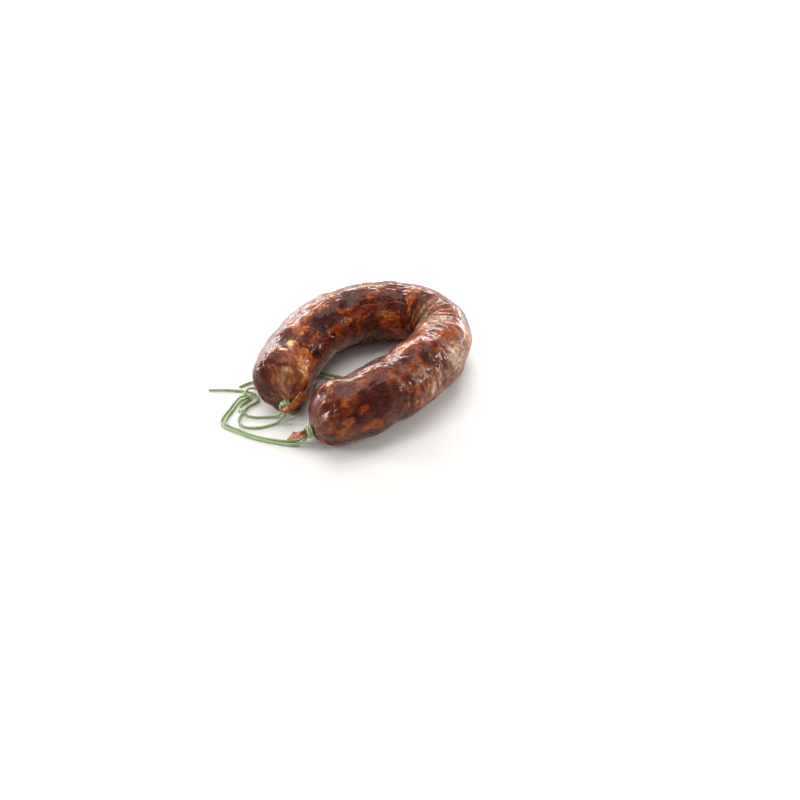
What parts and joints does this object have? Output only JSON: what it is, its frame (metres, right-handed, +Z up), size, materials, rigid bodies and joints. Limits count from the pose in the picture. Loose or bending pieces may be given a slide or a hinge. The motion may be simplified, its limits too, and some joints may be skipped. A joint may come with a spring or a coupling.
{
  "type": "horseshoe pork sausage",
  "caption": "Dried, smoked pork sausage bent to a horseshoe and lying flat, its casing ends gathered, tied with cotton twine and ending in dry flaps.",
  "frame": {"origin": "middle of the footprint of the sausage with its two ties, on the surface that it lies on", "axes": "+Z up, +Y from the tied ends towards the bend, +X to the side of the thicker limb"},
  "size_m": [0.1142, 0.1607, 0.0395],
  "materials": {
    "casing": "glossy translucent natural casing over coarse smoked meat and fat",
    "twine": "matte plied cotton"
  },
  "bodies": {
    "root": {"sausage": "casing", "tie_a": "twine", "tie_b": "twine", "knot": "twine", "twine_long_end": "twine", "twine_outer": "twine", "twine_outer_pair": "twine", "twine_inner": "twine", "twine_short_end": "twine", "twine_gap": "twine"}
  },
  "joints": []
}
